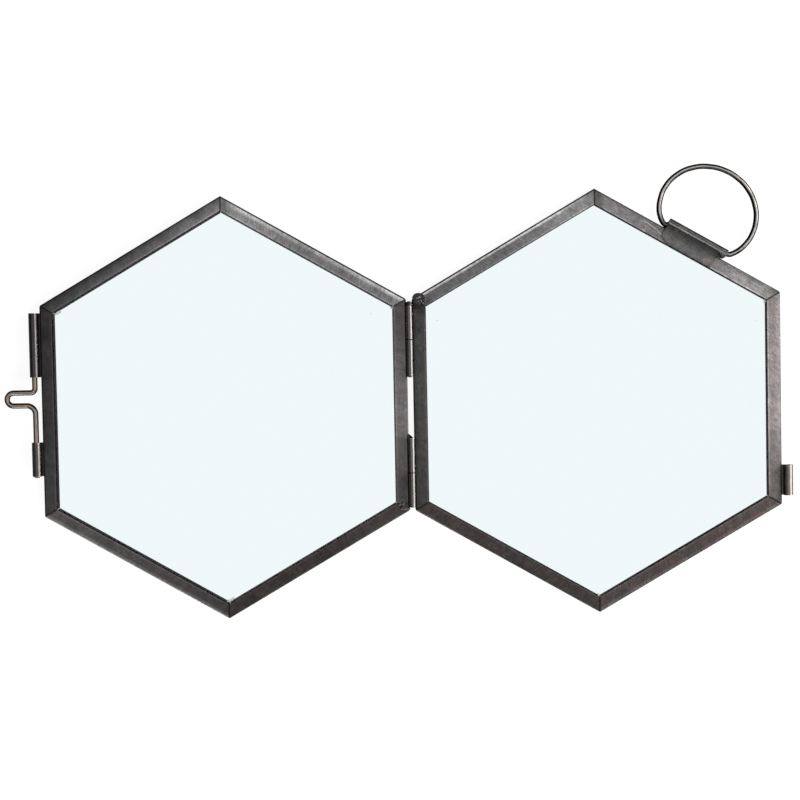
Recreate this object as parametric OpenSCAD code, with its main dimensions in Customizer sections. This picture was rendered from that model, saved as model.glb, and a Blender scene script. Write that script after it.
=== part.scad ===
// Hanging photo frame: two hexagonal leaves of glass in folded metal channel. Two rolled
// hinges join them like a book, a slide bolt closes them and a wire ring hangs them up.
// The frame lies open on its back. X runs across both leaves, Y along the hinge line.

/* [Leaves] */
// Width of a leaf across its two upright sides
leaf_w = 130.4; // [128:0.2:200]
// Width of a rail's back flange
back_w = 5; // [4.6:0.1:8]
// Width by which the left leaf's front flanges are narrower, so that the back ones show inside
left_front_less = 0.5; // [0.1:0.1:1]
// Width by which the right leaf's front flanges are narrower
right_front_less = 0.2; // [0.1:0.1:1]
// Thickness of the sheet that the rails are folded from
rail_sheet = 0.5; // [0.4:0.05:0.6]
// Outer radius of the fold along a rail's outer edge
fold_r = 0.6; // [0.45:0.05:0.8]
// Radius of the corners that were bent round
soft_corner = 1.3; // [0.8:0.1:2]
// Radius of the corners that were cut and closed sharp
sharp_corner = 0.4; // [0.2:0.1:0.8]
// Width of the seam between two mitred rails
mitre_gap = 0.12; // [0.05:0.01:0.2]
// Thickness of a glass pane
glass_t = 2; // [1.5:0.1:3]
// Play between the glass and each flange
glass_play = 0.05; // [0.02:0.01:0.1]
// Play between the glass edge and a rail's outer wall
glass_edge_play = 0.4; // [0.2:0.1:0.8]
// Gap that the closed leaves leave for the picture
picture_gap = 1.3; // [1.2:0.05:1.8]

/* [Hinges] */
// Gap between the two open leaves
hinge_gap = 2; // [2:0.05:3]
// Diameter of a hinge pin
pin_d = 1.4; // [1.2:0.05:1.4]
// Clearance round a pin inside its knuckles
pin_fit = 0.05; // [0.03:0.01:0.06]
// Thickness of the sheet that the knuckles are rolled from
hinge_sheet = 0.55; // [0.4:0.05:0.6]
// Length of each upper knuckle
upper_knuckle_len = 13.1; // [10:0.1:14]
// Length of each lower knuckle
lower_knuckle_len = 12.2; // [10:0.1:14]
// Gap between the two knuckles of a hinge
knuckle_gap = 0.15; // [0.1:0.05:0.3]
// Distance from a leaf's corner to the near end of its hinge
hinge_inset = 1.3; // [1:0.1:3]
// Length of pin that shows past each end of a hinge
pin_show = 0.2; // [0.1:0.05:0.5]
// Chamfer on the ends of the pins and of the bolt
end_chamfer = 0.2; // [0.1:0.05:0.3]

/* [Latch] */
// Diameter of the bolt's wire
bolt_d = 1.9; // [1.6:0.1:2.1]
// Clearance round the bolt inside its tubes
bolt_fit = 0.08; // [0.05:0.01:0.1]
// Thickness of the sheet that the latch tubes are rolled from
tube_sheet = 0.6; // [0.4:0.05:0.7]
// Distance from a leaf's outer edge to the bolt's axis
bolt_off = 2.05; // [2:0.05:2.6]
// Distance from the leaf's upper corner to the guide tube
guide_inset = 2.6; // [2:0.1:3.5]
// Length of the guide tube
guide_len = 22.8; // [20:0.1:23.5]
// Clear distance between the guide tube and the short tube
tube_span = 23.2; // [22.5:0.1:23.8]
// Length of the short tube
short_len = 12.1; // [10:0.1:12.6]
// Length of bolt that shows below the short tube
bolt_show = 0.45; // [0.3:0.05:0.8]
// Clearance between the drawn bolt's end and the keeper
keeper_clear = 0.15; // [0.1:0.05:0.4]
// Length of the keeper
keeper_len = 10.8; // [9.5:0.1:11.3]
// Distance from the guide tube down to the loop's upper leg
loop_drop = 5.4; // [4:0.1:6.5]
// Distance between the loop's two legs, from axis to axis
leg_pitch = 4.6; // [4:0.1:5.2]
// Reach of the loop's tip from the bolt's axis
loop_out = 10; // [8:0.1:14]
// Bend radius between the bolt and the loop's upper leg
upper_bend = 1.6; // [1.4:0.1:2.2]
// Bend radius between the loop's lower leg and the bolt
lower_bend = 3.1; // [2:0.1:3.6]
// Room left between a bend and a tube at the ends of the bolt's travel
stop_room = 0.3; // [0.2:0.05:0.5]
// Length of bolt that stays inside the guide tube when it is pushed home
bolt_hold = 5; // [3:0.1:7]

/* [Hanging ring] */
// Diameter of the ring's wire
ring_d = 1.9; // [1.6:0.1:2]
// Clearance round the ring's wire inside its clip
ring_fit = 0.08; // [0.05:0.01:0.1]
// Length of the ring along its clip, between wire axes
ring_len = 35.1; // [34:0.1:42]
// Width of the ring across its clip as a share of its length
ring_wid_share = 0.906; // [0.86:0.002:0.94]
// Distance from the clip's axis to the ring's middle as a share of the ring's width
ring_out_share = 0.316; // [0.29:0.002:0.35]
// Bend radius where the ring turns into its clip
ring_bend = 1.6; // [1.4:0.1:2.2]
// Gap between the wire's two ends inside the clip
ring_butt = 0.5; // [0.2:0.1:1]
// Length by which the ring can slide along its clip
ring_slide = 2.3; // [0.5:0.1:3]
// Distance from the leaf's top corner to the middle of the clip, along the rail
clip_along = 40.6; // [32:0.1:50]
// Distance from the rail's outer edge to the clip's axis
clip_off = 2.55; // [1.9:0.05:2.8]
// Thickness of the clip's sheet
clip_sheet = 0.45; // [0.35:0.05:0.45]
// Distance from the clip's tab to the rail's inner edge
tab_edge = 0.1; // [0:0.1:1]
// Length by which the tab is shorter than the tube
tab_short = 2.9; // [1:0.1:4]
// Length of the tab's clipped corner along the rail
tab_clip_len = 3.2; // [1:0.1:5]
// Width of the tab's clipped corner across the rail
tab_clip_wid = 1.7; // [0.5:0.1:3]

/* [Solder] */
// Radius of the solder on a leaf's closing corner
solder_r = 1.6; // [1.2:0.1:1.7]
// Height of the solder above the rail's face
solder_h = 0.25; // [0.1:0.05:0.3]
// Distance from the corner to the middle of the solder
solder_in = 2.6; // [2.6:0.1:3.5]

/* [Hidden] */
$fn = 64;

// Overrun of every cut past the face that it opens
over = 1;
// Lengths of a wire lap into the bends between them, which are this much stouter all round
wire_lap = 0.05;
wire_step = 0.01;

// A leaf is a regular hexagon with one corner up, drawn about its own middle
apothem = leaf_w / 2;
left_front_w = back_w - left_front_less;
right_front_w = back_w - right_front_less;
half_side = apothem * tan(30);
leaf_t = glass_t + 2 * glass_play + 2 * rail_sheet;
half_gap = hinge_gap / 2;
leaf_x = half_gap + apothem;
outer_x = half_gap + leaf_w;

// Radii of a leaf's corners, anticlockwise from the one at upper right
left_corners = [soft_corner, sharp_corner, soft_corner, sharp_corner, sharp_corner, soft_corner];
right_corners = [soft_corner, sharp_corner, soft_corner, soft_corner, sharp_corner, sharp_corner];

// The hinge axis lies half the picture gap above the faces, and the bolt's axis at its height
hinge_z = leaf_t + picture_gap / 2;
pin_r = pin_d / 2;
knuckle_bore = pin_r + pin_fit;
knuckle_r = knuckle_bore + hinge_sheet;
hinge_end = half_side - hinge_inset;
upper_low = hinge_end - 2 * upper_knuckle_len - knuckle_gap;
lower_mid = -hinge_end + lower_knuckle_len + knuckle_gap;
lower_top = lower_mid + lower_knuckle_len;

// Height above the back at which the tails and legs of the rolled pieces end
tail_rise = 0.5;
// Width of the seam line where a rolled sheet closes on itself, and its depth
seam_w = 0.12;
seam_deep = 0.2;

// Latch, from the guide tube's top end down to the keeper's lower end
bolt_r = bolt_d / 2;
tube_bore = bolt_r + bolt_fit;
tube_r = tube_bore + tube_sheet;
bolt_x = outer_x + bolt_off;
guide_top = half_side - guide_inset;
guide_low = guide_top - guide_len;
short_top = guide_low - tube_span;
short_low = short_top - short_len;
bolt_end = short_low - bolt_show;
keeper_top = bolt_end - keeper_clear;
keeper_low = keeper_top - keeper_len;

// Web that joins a latch tube to the rail: its thickness, and how far it is set into the tube wall
web_t = 0.35;
web_set = 0.07;

// Finger loop, and the bolt's travel down to where its lower bend meets the short tube
upper_leg = guide_low - loop_drop;
lower_leg = upper_leg - leg_pitch;
leg_mid = upper_leg - leg_pitch / 2;
tip_r = leg_pitch / 2;
tip_x = loop_out - tip_r;
bolt_travel = lower_leg - lower_bend - short_top - stop_room;
bolt_top = guide_low + bolt_travel + bolt_hold;

// The clip's tube hangs from its tab, whose sheet runs on into the tube's wall
ring_r = ring_d / 2;
clip_bore = ring_r + ring_fit;
clip_r = clip_bore + clip_sheet;
clip_set = 0.05;
clip_z = leaf_t + clip_sheet + clip_set - clip_r;
clip_y = half_side - clip_along;

// The ring is one wide arc, two end arcs and two bends into the clip. The end arcs take this
// share of the ring's half width as their radius, and the wide arc meets them smoothly.
end_arc_share = 0.92;
half_len = ring_len / 2;
half_wid = half_len * ring_wid_share;
ring_out = 2 * half_wid * ring_out_share;
end_r = half_wid * end_arc_share;
end_x = half_len - end_r;
wide_r = (end_x * end_x + half_wid * half_wid - end_r * end_r) / (2 * (half_wid - end_r));
wide_y = half_wid - wide_r;
join_angle = atan2(-wide_y, end_x);
bend_x = end_x + sqrt(pow(end_r - ring_bend, 2) - pow(ring_out - ring_bend, 2));
bend_angle = atan2(ring_out - ring_bend, bend_x - end_x);
clip_len = 2 * bend_x - ring_slide;
clip_top = clip_y + clip_len / 2;
clip_low = clip_y - clip_len / 2;
tab_low = clip_low + tab_short;
// The ring lies slid towards the leaf's top corner, its lower bend at the clip's end
ring_y = clip_low + bend_x;

// The origin is at the middle of the whole frame's footprint, on the surface under its back
low_x = -bolt_x - loop_out - bolt_r;
high_x = bolt_x + tube_r;
low_y = -(apothem - sharp_corner) / cos(30) - sharp_corner;
ring_mid_x = apothem + clip_off + ring_out;
ring_mid_high = ring_mid_x * sin(60) + ring_y * cos(60);
high_y = ring_mid_high + wide_r + wide_y * sin(60) + ring_r;
mid_x = (low_x + high_x) / 2;
mid_y = (low_y + high_y) / 2;

channel_colour = "#4a4645";
rolled_colour = "#5d5653";
wire_colour = "#75695f";
solder_colour = "#6c6967";
glass_colour = [0.92, 0.96, 0.97, 0.5];

// Places what is drawn about the hinge line at its place about the origin
module placed() {
    translate([-mid_x, -mid_y, 0]) children();
}

// Places what is drawn about a leaf's middle, for the left leaf at side -1 or the right at 1
module on_leaf(side) {
    placed() translate([side * leaf_x, 0, 0]) children();
}

// Places what is drawn for the right leaf's outer edge, mirrored where side is -1
module on_side(side) {
    placed() {
        if (side > 0) children();
        else mirror([1, 0, 0]) children();
    }
}

// Section of a rail: x runs outwards to its outer edge at zero, y is the height above the back
module rail_section(front_w) {
    difference() {
        union() {
            translate([-front_w, 0]) square([front_w - fold_r, leaf_t]);
            translate([-fold_r, fold_r]) square([fold_r, leaf_t - 2 * fold_r]);
            translate([-fold_r, fold_r]) circle(r = fold_r);
            translate([-fold_r, leaf_t - fold_r]) circle(r = fold_r);
            translate([-back_w, 0]) square([back_w - fold_r, rail_sheet]);
        }
        translate([-back_w - over, rail_sheet])
            square([back_w + over - rail_sheet, leaf_t - 2 * rail_sheet]);
    }
}

// What a corner of radius r takes off the upper end of a rail that faces along X
module corner_cut(r) {
    middle = apothem - r;
    translate([middle, middle * tan(30)]) difference() {
        square(r + over);
        circle(r = r);
    }
}

// Plan of a rail that faces along X, between its two mitre seams and its two corners
module rail_plan(low_r, high_r) {
    slack = mitre_gap / 2 / cos(30);
    near = apothem - back_w - over;
    far = apothem + over;
    difference() {
        polygon([
            [near, slack - near * tan(30)],
            [far, slack - far * tan(30)],
            [far, far * tan(30) - slack],
            [near, near * tan(30) - slack]
        ]);
        corner_cut(high_r);
        mirror([0, 1]) corner_cut(low_r);
    }
}

// Rail number k of a leaf, anticlockwise from the one that faces right
module rail(k, corners, front_w) {
    color(channel_colour) rotate([0, 0, 60 * k]) intersection() {
        translate([apothem, 0, 0]) rotate([90, 0, 0])
            linear_extrude(2 * half_side + 2 * over, center = true) rail_section(front_w);
        translate([0, 0, -over]) linear_extrude(leaf_t + 2 * over)
            rail_plan(corners[(k + 5) % 6], corners[k]);
    }
}

module left_rail(k) {
    on_leaf(-1) rail(k, left_corners, left_front_w);
}

module right_rail(k) {
    on_leaf(1) rail(k, right_corners, right_front_w);
}

// Hexagonal pane, held between the flanges
module pane() {
    color(glass_colour) translate([0, 0, rail_sheet + glass_play]) rotate([0, 0, 30])
        cylinder(r = (apothem - rail_sheet - glass_edge_play) / cos(30), h = glass_t, $fn = 6);
}

// Low dome of solder over the mitre seam of the corner that points along turn
module corner_solder(turn) {
    ball = (solder_r * solder_r + solder_h * solder_h) / (2 * solder_h);
    color(solder_colour) rotate([0, 0, turn])
        translate([apothem / cos(30) - solder_in, 0, leaf_t]) intersection() {
            translate([0, 0, solder_h - ball]) sphere(r = ball, $fn = 240);
            cylinder(r = solder_r + over, h = solder_h + over);
        }
}

// Shallow line along a rolled tube of outer radius r that lies along Y, at an angle from its top
module seam(r, low, length, turn) {
    rotate([0, turn, 0]) translate([-seam_w / 2, low - over, r - seam_deep])
        cube([seam_w, length + 2 * over, seam_deep + over]);
}

// Knuckle rolled round the hinge line, with a tail down the outer wall of the leaf at side
module knuckle(low, length, side, seam_turn) {
    color(rolled_colour) placed() difference() {
        union() {
            translate([0, low, hinge_z]) rotate([-90, 0, 0]) cylinder(r = knuckle_r, h = length);
            translate([side > 0 ? half_gap - hinge_sheet : -half_gap, low, tail_rise])
                cube([hinge_sheet, length, hinge_z - tail_rise]);
        }
        translate([0, low - over, hinge_z]) rotate([-90, 0, 0])
            cylinder(r = knuckle_bore, h = length + 2 * over);
        translate([0, 0, hinge_z]) seam(knuckle_r, low, length, seam_turn);
    }
}

// Round wire along Y from low to high, with a chamfer on each end
module straight_pin(r, low, high) {
    translate([0, low, 0]) rotate([-90, 0, 0]) {
        cylinder(r1 = r - end_chamfer, r2 = r, h = end_chamfer);
        translate([0, 0, end_chamfer]) cylinder(r = r, h = high - low - 2 * end_chamfer);
        translate([0, 0, high - low - end_chamfer])
            cylinder(r1 = r, r2 = r - end_chamfer, h = end_chamfer);
    }
}

module hinge_pin(low, high) {
    color(wire_colour) placed() translate([0, 0, hinge_z])
        straight_pin(pin_r, low - pin_show, high + pin_show);
}

// Tube rolled for the bolt on the outer edge of the leaf at side, with a web under it to the
// rail and a leg down the rail's outer wall
module latch_tube(low, length, side, seam_turn) {
    web_low = hinge_z - tube_bore - web_set - web_t;
    color(rolled_colour) on_side(side) difference() {
        union() {
            translate([bolt_x, low, hinge_z]) rotate([-90, 0, 0]) cylinder(r = tube_r, h = length);
            translate([outer_x, low, web_low]) cube([bolt_off, length, web_t]);
            translate([outer_x, low, tail_rise]) cube([web_t, length, web_low + web_t - tail_rise]);
        }
        translate([bolt_x, low - over, hinge_z]) rotate([-90, 0, 0])
            cylinder(r = tube_bore, h = length + 2 * over);
        translate([bolt_x, 0, hinge_z]) seam(tube_r, low, length, seam_turn);
    }
}

// Length of wire from [x, y] along the direction turn, lapping into a bend at its start and
// at its end by the laps given
module wire_length(x, y, wire, turn, length, start_lap, end_lap) {
    translate([x, y, 0]) rotate([0, 0, turn]) translate([-start_lap, 0, 0]) rotate([0, 90, 0])
        cylinder(r = wire, h = length + start_lap + end_lap);
}

// Chamfered end of a wire, from [x, y] along the direction turn, lapping back into the wire
module wire_end(x, y, wire, turn) {
    translate([x, y, 0]) rotate([0, 0, turn]) translate([-wire_lap, 0, 0]) rotate([0, 90, 0])
        cylinder(r1 = wire - wire_step, r2 = wire - end_chamfer, h = end_chamfer + wire_lap);
}

// Bend of wire round [x, y], from the direction start through sweep
module wire_bend(x, y, bend, wire, start, sweep) {
    translate([x, y, 0]) rotate([0, 0, start]) rotate_extrude(angle = sweep)
        translate([bend, 0]) circle(r = wire + wire_step);
}

// Wire bolt, drawn at the right and mirrored: an upper shank, the finger loop and a lower shank
module latch_bolt() {
    upper_straight = upper_leg + upper_bend;
    lower_straight = lower_leg - lower_bend;
    color(wire_colour) on_side(-1) translate([bolt_x, 0, hinge_z]) {
        wire_length(0, upper_straight, bolt_r, 90, bolt_top - end_chamfer - upper_straight,
            wire_lap, 0);
        wire_end(0, bolt_top - end_chamfer, bolt_r, 90);
        wire_bend(upper_bend, upper_straight, upper_bend, bolt_r, 180, 90);
        wire_length(upper_bend, upper_leg, bolt_r, 0, tip_x - upper_bend, wire_lap, wire_lap);
        wire_bend(tip_x, leg_mid, tip_r, bolt_r, -90, 180);
        wire_length(lower_bend, lower_leg, bolt_r, 0, tip_x - lower_bend, wire_lap, wire_lap);
        wire_bend(lower_bend, lower_straight, lower_bend, bolt_r, 90, 90);
        wire_length(0, lower_straight, bolt_r, -90, lower_straight - bolt_end - end_chamfer,
            wire_lap, 0);
        wire_end(0, bolt_end + end_chamfer, bolt_r, -90);
    }
}

// Places what is drawn for a rail that faces along X on the right leaf's upper right rail
module on_ring_rail() {
    on_leaf(1) rotate([0, 0, 60]) children();
}

// Sheet clip: a tab that lies on the rail's face and runs on as a tube round the ring's wire
module ring_clip() {
    in_x = apothem - right_front_w + tab_edge;
    color(rolled_colour) on_ring_rail() difference() {
        union() {
            translate([0, 0, leaf_t]) linear_extrude(clip_sheet) polygon([
                [apothem + clip_off, tab_low],
                [apothem + clip_off, clip_top],
                [in_x + tab_clip_wid, clip_top],
                [in_x, clip_top - tab_clip_len],
                [in_x, tab_low]
            ]);
            translate([apothem + clip_off, clip_low, clip_z]) rotate([-90, 0, 0])
                cylinder(r = clip_r, h = clip_len);
        }
        translate([apothem + clip_off, clip_low - over, clip_z]) rotate([-90, 0, 0])
            cylinder(r = clip_bore, h = clip_len + 2 * over);
        translate([apothem + clip_off, 0, clip_z]) seam(clip_r, clip_low, clip_len, 200);
    }
}

// End of the ring: a straight stub inside the clip, the bend out of it and an end arc
module ring_side() {
    butt = ring_butt / 2;
    lap_angle = wire_lap / end_r * 180 / PI;
    wire_length(-ring_out, butt, ring_r, 90, bend_x - butt, 0, wire_lap);
    wire_bend(ring_bend - ring_out, bend_x, ring_bend, ring_r, 90 + bend_angle, 90 - bend_angle);
    translate([0, end_x, 0]) rotate([0, 0, 90 - join_angle - lap_angle])
        rotate_extrude(angle = join_angle + bend_angle + 2 * lap_angle)
            translate([end_r, 0]) circle(r = ring_r);
}

module hanging_ring() {
    color(wire_colour) on_ring_rail() translate([ring_mid_x, ring_y, clip_z]) {
        ring_side();
        mirror([0, 1, 0]) ring_side();
        wire_bend(wide_y, 0, wide_r, ring_r, join_angle - 90, 180 - 2 * join_angle);
    }
}

on_leaf(-1) pane();  // left_glass
left_rail(0);  // left_leaf_rail_hinge_side
left_rail(1);  // left_leaf_rail_top_right
left_rail(2);  // left_leaf_rail_top_left
left_rail(3);  // left_leaf_rail_latch_side
left_rail(4);  // left_leaf_rail_bottom_left
left_rail(5);  // left_leaf_rail_bottom_right
on_leaf(-1) corner_solder(-30);  // left_corner_solder
knuckle(upper_low, upper_knuckle_len, -1, 60);  // upper_knuckle_left
knuckle(lower_mid, lower_knuckle_len, -1, 60);  // lower_knuckle_left
latch_tube(guide_low, guide_len, -1, 200);  // latch_guide_tube
latch_tube(short_low, short_len, -1, 200);  // latch_short_tube
latch_bolt();
on_leaf(1) pane();  // right_glass
right_rail(0);  // right_leaf_rail_keeper_side
right_rail(1);  // right_leaf_rail_top_right
right_rail(2);  // right_leaf_rail_top_left
right_rail(3);  // right_leaf_rail_hinge_side
right_rail(4);  // right_leaf_rail_bottom_left
right_rail(5);  // right_leaf_rail_bottom_right
on_leaf(1) corner_solder(150);  // right_corner_solder
knuckle(hinge_end - upper_knuckle_len, upper_knuckle_len, 1, -60);  // upper_knuckle_right
knuckle(-hinge_end, lower_knuckle_len, 1, -5);  // lower_knuckle_right
hinge_pin(upper_low, hinge_end);  // upper_hinge_pin
hinge_pin(-hinge_end, lower_top);  // lower_hinge_pin
latch_tube(keeper_low, keeper_len, 1, 160);  // latch_keeper
ring_clip();
hanging_ring();
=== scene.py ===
import math

import bpy
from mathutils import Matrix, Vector, noise


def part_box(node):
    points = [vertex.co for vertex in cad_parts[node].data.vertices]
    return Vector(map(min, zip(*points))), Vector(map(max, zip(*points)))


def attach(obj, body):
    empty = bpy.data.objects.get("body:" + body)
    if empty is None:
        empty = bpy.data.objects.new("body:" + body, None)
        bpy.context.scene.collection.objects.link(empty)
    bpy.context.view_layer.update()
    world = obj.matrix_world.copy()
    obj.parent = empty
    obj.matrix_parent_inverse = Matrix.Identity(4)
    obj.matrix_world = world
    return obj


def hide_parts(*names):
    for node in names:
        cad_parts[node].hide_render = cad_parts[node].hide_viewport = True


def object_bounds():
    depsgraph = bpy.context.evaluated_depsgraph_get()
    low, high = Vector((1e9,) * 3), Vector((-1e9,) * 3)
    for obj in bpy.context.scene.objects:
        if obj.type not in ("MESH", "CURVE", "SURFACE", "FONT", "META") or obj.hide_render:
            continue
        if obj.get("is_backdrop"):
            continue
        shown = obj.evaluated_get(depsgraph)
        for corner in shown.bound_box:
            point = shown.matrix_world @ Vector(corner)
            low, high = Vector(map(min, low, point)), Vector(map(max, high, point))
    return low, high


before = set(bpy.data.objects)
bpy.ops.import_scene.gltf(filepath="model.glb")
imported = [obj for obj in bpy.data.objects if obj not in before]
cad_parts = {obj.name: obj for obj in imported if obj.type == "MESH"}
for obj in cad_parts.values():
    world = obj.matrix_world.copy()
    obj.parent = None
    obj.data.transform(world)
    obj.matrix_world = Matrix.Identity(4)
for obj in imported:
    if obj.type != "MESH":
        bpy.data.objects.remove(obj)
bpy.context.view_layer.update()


# Stage
# The opened frame lies on its back on a white sheet, and the camera hangs nearly straight above
# it. A broad softbox overhead lights the flat faces; panels at the right and in front of the
# frame put the bright stripe on every rolled tube and wire.
CAMERA_PLACE = (0.00609, 0.01708, 0.53567)
CAMERA_TILT = (-2.107, 0.519, -1.088)
CAMERA_LENS = 67.5
CAMERA_SENSOR = 36.0
CAMERA_NEAR = 0.01
WHITE = (1, 1, 1, 1)
WORLD_LEVEL = 0.2
FLOOR_REACH = 3.0
FLOOR_DROP = 0.0002
SHEET_COLOUR = (0.97, 0.97, 0.97, 1)
SHEET_ROUGH = 0.9
SHEET_GLOW = 0.9

camera_data = bpy.data.cameras.new("photo_camera")
camera_data.lens = CAMERA_LENS
camera_data.sensor_width = CAMERA_SENSOR
camera_data.clip_start = CAMERA_NEAR
camera = bpy.data.objects.new("photo_camera", camera_data)
bpy.context.scene.collection.objects.link(camera)
camera.location = CAMERA_PLACE
camera.rotation_euler = [math.radians(a) for a in CAMERA_TILT]
bpy.context.scene.camera = camera
bpy.context.scene.view_settings.view_transform = "Standard"

# The world gives a low even light and is white where it is looked at
world = bpy.data.worlds.new("studio")
bpy.context.scene.world = world
world.use_nodes = True
sky = world.node_tree
sky.nodes["Background"].inputs["Color"].default_value = WHITE
sight = sky.nodes.new("ShaderNodeLightPath")
level = sky.nodes.new("ShaderNodeMath")
level.operation = "MULTIPLY_ADD"
sky.links.new(sight.outputs["Is Camera Ray"], level.inputs[0])
level.inputs[1].default_value = 1.0 - WORLD_LEVEL
level.inputs[2].default_value = WORLD_LEVEL
sky.links.new(level.outputs[0], sky.nodes["Background"].inputs["Strength"])


def softbox(name, place, size, brightness):
    """Rectangular light at place that faces the frame, with its brightness where 1 is white."""
    data = bpy.data.lights.new(name, "AREA")
    data.shape = "RECTANGLE"
    data.size, data.size_y = size
    data.energy = brightness * math.pi * size[0] * size[1]
    lamp = bpy.data.objects.new(name, data)
    bpy.context.scene.collection.objects.link(lamp)
    lamp.location = place
    lamp.rotation_euler = lamp.location.to_track_quat("Z", "Y").to_euler()


softbox("overhead_softbox", (0.05, 0.08, 1.1), (1.35, 1.3), 0.85)
softbox("right_panel", (0.85, 0.06, 0.45), (1.3, 0.7), 9.0)
softbox("front_panel", (0.1, -0.8, 0.45), (1.3, 0.26), 12.0)

# The sheet is nearly white to the camera and in reflections, and fully white through the glass
bpy.ops.mesh.primitive_plane_add(size=2 * FLOOR_REACH, location=(0, 0, -FLOOR_DROP))
floor = bpy.context.object
floor.name = "white_sheet"
sheet = bpy.data.materials.new("white_sheet")
sheet.use_nodes = True
tree = sheet.node_tree
path = tree.nodes.new("ShaderNodeLightPath")
glow = tree.nodes.new("ShaderNodeEmission")
glow.inputs["Strength"].default_value = 1.0
seen = tree.nodes.new("ShaderNodeMath")
seen.operation = "ADD"
tree.links.new(path.outputs["Is Camera Ray"], seen.inputs[0])
tree.links.new(path.outputs["Is Glossy Ray"], seen.inputs[1])
share = tree.nodes.new("ShaderNodeMath")
share.operation = "MULTIPLY_ADD"
share.use_clamp = True
tree.links.new(seen.outputs[0], share.inputs[0])
share.inputs[1].default_value = SHEET_GLOW
tree.links.new(path.outputs["Is Transmission Ray"], share.inputs[2])
blend = tree.nodes.new("ShaderNodeMixShader")
paper = tree.nodes["Principled BSDF"]
paper.inputs["Base Color"].default_value = SHEET_COLOUR
paper.inputs["Roughness"].default_value = SHEET_ROUGH
tree.links.new(share.outputs[0], blend.inputs["Fac"])
tree.links.new(paper.outputs[0], blend.inputs[1])
tree.links.new(glow.outputs[0], blend.inputs[2])
tree.links.new(blend.outputs[0], tree.nodes["Material Output"].inputs["Surface"])
floor.data.materials.append(sheet)
floor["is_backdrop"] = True


# Channel rails
# Each leaf's frame is six mitred lengths of thin sheet folded round the glass and darkened with
# an antique patina. Brushing left short strokes across them, and flux left a dark stain along each
# mitre. Their tones from rail to rail, the lines along the folds and at the inner edges, and the
# dark back flange under the glass are painted light and shade.
MM = 0.001
MITRE = math.radians(30)
LEAF_MIDDLES = {}
for side in ("left", "right"):
    low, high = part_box(side + "_glass")
    LEAF_MIDDLES[side] = (low + high) / 2
LEAF_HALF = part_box("right_leaf_rail_keeper_side")[1].x - LEAF_MIDDLES["right"].x
RAIL_HALF = LEAF_HALF * math.tan(MITRE)
FACE_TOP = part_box("left_leaf_rail_latch_side")[1].z
FACE_WIDTHS = {"left": 4.5 * MM, "right": 4.8 * MM}
BACK_HEIGHT = 1.2 * MM
CREASE = 0.45 * MM
CREASE_BLUR = 0.2 * MM
SHOULDER_LIGHT_WIDTH = 0.5 * MM
SHOULDER_LIGHT_FADE = (3.5 * MM, 9.5 * MM)
CUT_EDGE = 0.3 * MM
DULL_FADE = (1.8 * MM, 4.8 * MM)
STAIN_FADE = (-0.35 * MM, 0.05 * MM)
STAIN_RAGGED = 0.8 * MM
STAIN_TONE = 0.14
# Painted shade on the inside of the back flange under the glass
FLANGE_SHADE = (0.006, 0.005, 0.005)
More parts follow.
